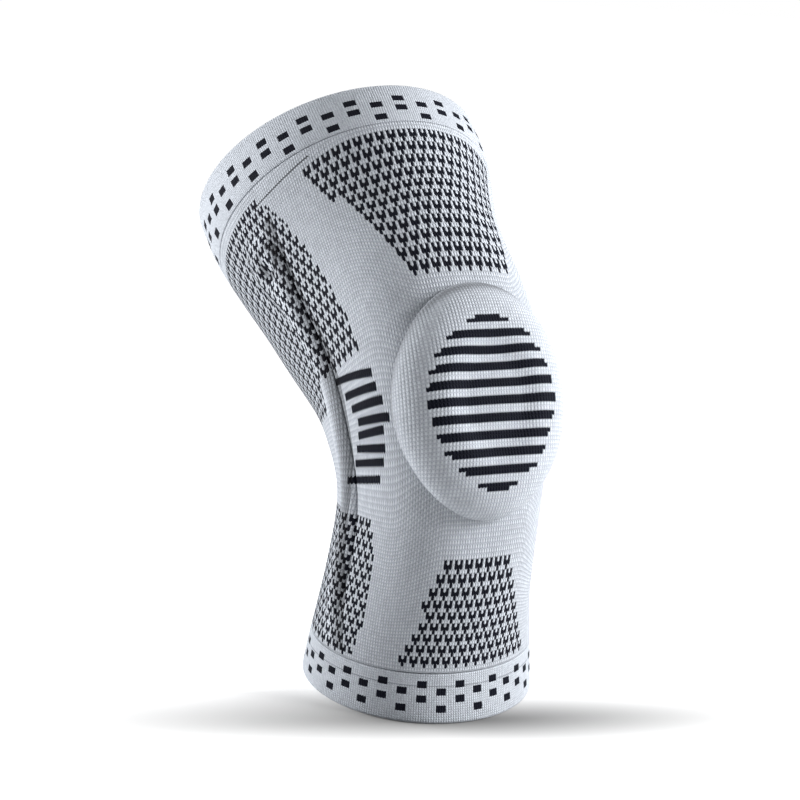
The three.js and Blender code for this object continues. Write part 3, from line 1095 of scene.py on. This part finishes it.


# Painted shade in the fold, the ring and the tuck, less a painted highlight on the stay's back
def body_painted_shade_and_highlight(tree, stitch, counts):
    split = tree.nodes.new("ShaderNodeSeparateXYZ")
    tree.links.new(counts, split.inputs[0])
    wale, course = put(tree, "ABSOLUTE", split.outputs[0]), split.outputs[1]
    number, slope, curve = FOLD_LINE
    line = put(tree, "MULTIPLY_ADD", put(tree, "MULTIPLY_ADD", course, curve, slope), course, number)
    behind = put(tree, "SUBTRACT", wale, line)
    fold = both(tree, bell(tree, behind, 0.0, FOLD_WALES), put(tree, "GREATER_THAN", behind, FOLD_EDGE))
    ridge_highlight = put(tree, "MULTIPLY", bell(tree, behind, RIDGE_PLACE, RIDGE_WALES), RIDGE_LIGHT)
    fold = put(tree, "SUBTRACT", put(tree, "MULTIPLY", fold, FOLD_SHADE), ridge_highlight)
    fold = both(tree, fold, between(tree, course, FOLD_START, FOLD_END))
    ring_wale = put(tree, "DIVIDE", put(tree, "SUBTRACT", wale, RING_WALE), RING_WALES)
    ring_course = put(tree, "DIVIDE", put(tree, "SUBTRACT", course, RING_COURSE), RING_COURSES)
    from_ring = put(tree, "SQRT", put(tree, "ADD", square(tree, ring_wale), square(tree, ring_course)))
    ring = put(tree, "MULTIPLY", bell(tree, from_ring, 1.0, RING_THICKNESS), RING_SHADE)
    on_tuck = both(
        tree,
        between(tree, stitch["Lifted"], TUCK_COURSE - TUCK_THICKNESS, TUCK_COURSE),
        between(tree, wale, TUCK_FRONT, TUCK_BACK),
    )
    tuck = put(tree, "MULTIPLY", on_tuck, TUCK_SHADE)
    return put(tree, "MINIMUM", put(tree, "ADD", put(tree, "ADD", fold, ring), tuck), DARKEST)


body_knit = knit_material("body_knit", body_pattern, body_painted_shade_and_highlight)
sleeve_body.data.materials.append(body_knit)
for stay in stays:
    stay.data.materials.append(body_knit)

# %% [markdown]
# ## The stripes of the pad
#
# Eleven dark stripes cross the pad, each two courses thick. Their ends follow an
# oval, and the oval is rounded to whole stitches at every course, which gives
# some ends a small step, as on a charted knitting pattern.

# %% The pattern of the pad
STRIPE_COURSES = 2.1
STRIPES_TO_LEFT = 0.7  # wales from the pad's middle to the stripes' middle
STRIPE_TAPER = 0.3  # wales that an end loses in a course, for each stripe from the middle

# Half lengths in wales, from the top stripe to the bottom one
STRIPE_HALVES = [6, 13.6, 17, 19.3, 20.9, 21.4, 20.4, 18.6, 16.1, 12.4, 5.6]


def pad_pattern(tree, stitch):
    middle = put(tree, "ADD", stitch["Lifted"], LEG_SLOPE / 2 + COURSES_PER_STRIPE / 2)
    number = put(tree, "FLOOR", put(tree, "DIVIDE", middle, COURSES_PER_STRIPE))
    inside = put(tree, "FLOORED_MODULO", middle, COURSES_PER_STRIPE)
    inside = put(tree, "SUBTRACT", inside, COURSES_PER_STRIPE / 2)
    dark = put(tree, "LESS_THAN", put(tree, "ABSOLUTE", inside), STRIPE_COURSES / 2)
    upper = put(tree, "SIGN", inside)
    from_middle = put(tree, "ABSOLUTE", put(tree, "SUBTRACT", stitch["Wale"], STRIPES_TO_LEFT - 0.5))
    masks = []
    for i, half in enumerate(STRIPE_HALVES):
        place = STRIPES // 2 - i
        reach = put(tree, "MULTIPLY_ADD", upper, -STRIPE_TAPER * place, half)
        here = put(tree, "LESS_THAN", put(tree, "ABSOLUTE", put(tree, "SUBTRACT", number, place)), 0.5)
        masks.append(both(tree, here, put(tree, "LESS_THAN", from_middle, reach)))
    return both(tree, dark, either(tree, *masks))


print("the longest stripe is", 2 * max(STRIPE_HALVES), "wales long")

# %% [markdown]
# Where the pad meets the tube, the knit is drawn in and lies in its own shadow. An
# oval on the stitch count, as large as the pad, gives a narrow band of painted shade.

# %% The pad's material, with painted shade at its rim
RIM_WALES, RIM_COURSES = 33.6, 31.8  # the pad's outline in stitches
RIM_SOFTNESS, RIM_SHADE = 0.06, 0.5
PAD_GAP_SHADE = 0.55


def pad_rim_painted_shade(tree, stitch, counts):
    """Painted shade just inside the pad's outline, where the knit is drawn in."""
    scaled = tree.nodes.new("ShaderNodeVectorMath")
    scaled.operation = "DIVIDE"
    tree.links.new(counts, scaled.inputs[0])
    scaled.inputs[1].default_value = (RIM_WALES, RIM_COURSES, 1)
    reach = tree.nodes.new("ShaderNodeVectorMath")
    reach.operation = "LENGTH"
    tree.links.new(scaled.outputs[0], reach.inputs[0])
    return put(tree, "MULTIPLY", bell(tree, reach.outputs["Value"], 1.0, RIM_SOFTNESS), RIM_SHADE)


pad.data.materials.append(knit_material("pad_knit", pad_pattern, pad_rim_painted_shade, gap_shade=PAD_GAP_SHADE))

# %% [markdown]
# ## The dashes of the cuffs
#
# Both cuffs carry short dashes in staggered columns, two in each column. A row of
# dashes is given by the course at which it starts and whether it is on the even or
# the odd columns. The shift moves the whole pattern by some wales, to the left
# when it is below zero.

# %% The pattern of the cuffs
UPPER_DASHES = {"wales": 5, "courses": 4, "rows": [(15, 0), (8, 0), (11, 1), (2, 1)], "shift": 0}
LOWER_DASHES = {"wales": 4, "courses": 3, "rows": [(3, 0), (9, 0), (6, 1), (13, 1)], "shift": -2}


def dash_pattern(wales_per_repeat, dashes):
    def pattern(tree, stitch):
        wale, course = put(tree, "ADD", stitch["Wale"], dashes["shift"]), stitch["Course"]
        column = put(tree, "FLOOR", put(tree, "DIVIDE", wale, wales_per_repeat))
        odd = put(tree, "FLOORED_MODULO", column, 2)
        in_repeat = put(tree, "FLOORED_MODULO", wale, wales_per_repeat)
        inside = put(tree, "LESS_THAN", in_repeat, dashes["wales"] - 0.5)
        masks = []
        for first, on_odd in dashes["rows"]:
            here = between(tree, course, first - 0.5, first + dashes["courses"] - 0.5)
            masks.append(both(tree, here, between(tree, odd, on_odd - 0.5, on_odd + 0.5)))
        return both(tree, inside, either(tree, *masks))

    return pattern


print("dashes round the upper cuff:", UPPER_REPEATS * 2, "and round the lower one:", LOWER_REPEATS * 2)

# %% [markdown]
# The cuffs are knitted closer than the tube, so less shade is painted into the gaps
# between their stitches and they are paler. On the lower cuff a fine line of painted
# shade marks the groove where its turned edge is caught down.

# %% The cuffs' materials, with a painted shade line on the lower one
CUFF_GAP_SHADE = 0.4
upper_dashes = dash_pattern(UPPER_WALES_PER_REPEAT, UPPER_DASHES)
upper_knit = knit_material("upper_cuff_knit", upper_dashes, gap_shade=CUFF_GAP_SHADE)
upper_cuff.data.materials.append(upper_knit)

HEM_COURSE, HEM_THICKNESS, HEM_SHADE = 5.4, 0.35, 0.55


# Painted shade in the groove where the lower cuff's turned edge is caught down
def hem_painted_shade(tree, stitch, counts):
    line = between(tree, stitch["Lifted"], HEM_COURSE - HEM_THICKNESS, HEM_COURSE)
    return put(tree, "MULTIPLY", line, HEM_SHADE)


lower_dashes = dash_pattern(LOWER_WALES_PER_REPEAT, LOWER_DASHES)
lower_knit = knit_material("lower_cuff_knit", lower_dashes, hem_painted_shade, gap_shade=CUFF_GAP_SHADE)
lower_cuff.data.materials.append(lower_knit)

# %% [markdown]
# ## Floor, light and camera
#
# A white floor and a white world give the clean look of a catalogue picture. Near
# the sleeve the floor takes its shadow, and further out it glows white, so that
# no horizon shows. The floor could be lit until it turns white, but then its
# shadow would wash out as well, so its shader fades from a matt floor near the
# sleeve to a light of its own further out.

# %% The floor
FLOOR_SIZE = 8.0
SHADOW_REACH, GLOW_REACH = 0.16, 0.42  # metres from the middle
bpy.ops.mesh.primitive_plane_add(size=FLOOR_SIZE, location=(0, 0, 0))
floor = bpy.context.object
floor.name = "floor"
floor_material = bpy.data.materials.new("pale_floor")
floor_material.use_nodes = True
floor_tree = floor_material.node_tree
floor_shader = floor_tree.nodes["Principled BSDF"]
place = floor_tree.nodes.new("ShaderNodeTexCoord")
distance = floor_tree.nodes.new("ShaderNodeVectorMath")
distance.operation = "LENGTH"
floor_tree.links.new(place.outputs["Object"], distance.inputs[0])
fade = floor_tree.nodes.new("ShaderNodeMapRange")
fade.interpolation_type = "SMOOTHSTEP"
fade.inputs["From Min"].default_value = SHADOW_REACH
fade.inputs["From Max"].default_value = GLOW_REACH
floor_tree.links.new(distance.outputs["Value"], fade.inputs["Value"])
print("floor is", FLOOR_SIZE, "m wide and glows fully from", GLOW_REACH, "m out")

# %% [markdown]
# Under the sleeve lies a painted shadow: a soft dark streak, long from left to right.
# It is an oval on the floor's own coordinates, turned and stretched by a Mapping
# node, and it takes away both the floor's colour and its glow.

# %% The painted shadow under the sleeve
PAINTED_SHADOW_TURN = math.radians(-14.6)
PAINTED_SHADOW_LENGTH, PAINTED_SHADOW_DEPTH = 0.25, 0.038  # metres from its middle
PAINTED_SHADOW_SOFTNESS, PAINTED_SHADOW_DARK = 0.75, 0.92
PAINTED_SHADOW_PLACE = (-0.006, RIM_CENTRE * MM - 0.0523, 0)
FLOOR_NEAR, FLOOR_FAR = 0.92, 0.07
GLOW_NEAR, GLOW_FAR = 0.25, 1.0
painted_shadow_place = floor_tree.nodes.new("ShaderNodeMapping")
painted_shadow_place.vector_type = "TEXTURE"
painted_shadow_place.inputs["Location"].default_value = PAINTED_SHADOW_PLACE
painted_shadow_place.inputs["Rotation"].default_value = (0, 0, PAINTED_SHADOW_TURN)
painted_shadow_place.inputs["Scale"].default_value = (PAINTED_SHADOW_LENGTH, PAINTED_SHADOW_DEPTH, 1)
floor_tree.links.new(place.outputs["Object"], painted_shadow_place.inputs["Vector"])
painted_shadow_reach = floor_tree.nodes.new("ShaderNodeVectorMath")
painted_shadow_reach.operation = "LENGTH"
floor_tree.links.new(painted_shadow_place.outputs[0], painted_shadow_reach.inputs[0])
inside_painted_shadow = put(floor_tree, "SUBTRACT", 1.0, painted_shadow_reach.outputs["Value"])
painted_shadow = put(floor_tree, "POWER", put(floor_tree, "MAXIMUM", inside_painted_shadow, 0.0), PAINTED_SHADOW_SOFTNESS)
# What the painted shadow leaves of the floor's colour and glow
light_left = put(floor_tree, "MULTIPLY_ADD", painted_shadow, -PAINTED_SHADOW_DARK, 1.0)
floor_color = put(floor_tree, "MULTIPLY_ADD", fade.outputs["Result"], FLOOR_FAR - FLOOR_NEAR, FLOOR_NEAR)
floor_color = put(floor_tree, "MULTIPLY", floor_color, light_left)
floor_tree.links.new(floor_color, floor_shader.inputs["Base Color"])
glow = put(floor_tree, "MULTIPLY_ADD", fade.outputs["Result"], GLOW_FAR - GLOW_NEAR, GLOW_NEAR)
glow = put(floor_tree, "MULTIPLY", glow, light_left)
floor_tree.links.new(glow, floor_shader.inputs["Emission Color"])
floor_shader.inputs["Emission Strength"].default_value = 1.0
floor_shader.inputs["Roughness"].default_value = 0.8
floor_shader.inputs["Specular IOR Level"].default_value = 0.1
floor.data.materials.append(floor_material)
print("the streak reaches", PAINTED_SHADOW_LENGTH, "m to each side")

# %% [markdown]
# Two lamps give the sleeve its form: a strong one from the right, and one from the
# left and behind, which leaves a band of cool grey between them. Two weak ones,
# above and in front, open up the shadows.

# %% The lamps
WHITE, COOL = (1, 1, 1), (0.92, 0.96, 1)
MIDDLE_HEIGHT = 0.14  # metres, about half of the sleeve's height

# Name, azimuth, elevation, distance and size in metres, watts, colour
LAMPS = [
    ("key", 62, 25, 1.2, 0.6, 39, WHITE),
    ("rim", -125, 12, 1.2, 0.5, 28, WHITE),
    ("top", 20, 80, 1.4, 1.0, 4, WHITE),
    ("front", -30, 15, 1.6, 0.8, 2, COOL),
]


def area_lamp(name, azimuth, elevation, distance, size, watts, color):
    """A square lamp that looks at the sleeve. Azimuth 0 is in front, 90 on the right."""
    data = bpy.data.lights.new(name, "AREA")
    data.size, data.energy, data.color = size, watts, color
    lamp = bpy.data.objects.new(name, data)
    a, e = math.radians(azimuth), math.radians(elevation)
    towards = Vector((math.sin(a) * math.cos(e), -math.cos(a) * math.cos(e), math.sin(e)))
    lamp.location = Vector((0, 0, MIDDLE_HEIGHT)) + towards * distance
    lamp.rotation_euler = towards.to_track_quat("Z", "Y").to_euler()
    bpy.context.scene.collection.objects.link(lamp)


for lamp_values in LAMPS:
    area_lamp(*lamp_values)
print("lamps:", [lamp_values[0] for lamp_values in LAMPS])

# %% [markdown]
# The world is white to the camera, so that the background is, but it lights the
# sleeve only weakly. Otherwise light from all sides would take away its form.

# %% The world
WORLD_LIGHT = 0.17
world = bpy.data.worlds.new("studio")
world.use_nodes = True
world_tree = world.node_tree
background = world_tree.nodes["Background"]
background.inputs["Color"].default_value = (1, 1, 1, 1)
seen = world_tree.nodes.new("ShaderNodeLightPath").outputs["Is Camera Ray"]
strength = put(world_tree, "MULTIPLY_ADD", seen, 1 - WORLD_LIGHT, WORLD_LIGHT)
world_tree.links.new(strength, background.inputs["Strength"])
bpy.context.scene.world = world
bpy.context.scene.view_settings.view_transform = "Standard"
print("the world lights the sleeve with", WORLD_LIGHT)

# %% [markdown]
# The camera stands to the left of the front, looks down on the sleeve a little,
# and is rolled by a few degrees about its line of sight. Its lens is long, so the
# near cuff doesn't look much larger than the far one.

# %% The camera
CAMERA_AZIMUTH, CAMERA_ELEVATION, CAMERA_ROLL = -28.97, 16.64, 5.96  # degrees
CAMERA_DISTANCE = 0.915  # metres
CAMERA_TARGET = Vector((0, RIM_CENTRE * MM + 0.02, MIDDLE_HEIGHT))
CAMERA_LENS, SENSOR_WIDTH = 82.35, 36  # millimetres
TARGET_IN_PICTURE = (426.0, 400.6)  # where the camera's target shows, in pixels from the top left
PICTURE_SIZE = 800

camera_data = bpy.data.cameras.new("camera")
camera_data.lens = CAMERA_LENS
camera_data.sensor_width = SENSOR_WIDTH
camera_data.shift_x = (PICTURE_SIZE / 2 - TARGET_IN_PICTURE[0]) / PICTURE_SIZE
camera_data.shift_y = (TARGET_IN_PICTURE[1] - PICTURE_SIZE / 2) / PICTURE_SIZE
camera = bpy.data.objects.new("camera", camera_data)
a, e = math.radians(CAMERA_AZIMUTH), math.radians(CAMERA_ELEVATION)
back = Vector((math.sin(a) * math.cos(e), -math.cos(a) * math.cos(e), math.sin(e)))
camera.location = CAMERA_TARGET + back * CAMERA_DISTANCE
roll = Matrix.Rotation(math.radians(CAMERA_ROLL), 3, "Z")
camera.rotation_euler = (back.to_track_quat("Z", "Y").to_matrix() @ roll).to_euler()
bpy.context.scene.collection.objects.link(camera)
bpy.context.scene.camera = camera
print("camera at", [round(x, 3) for x in camera.location])
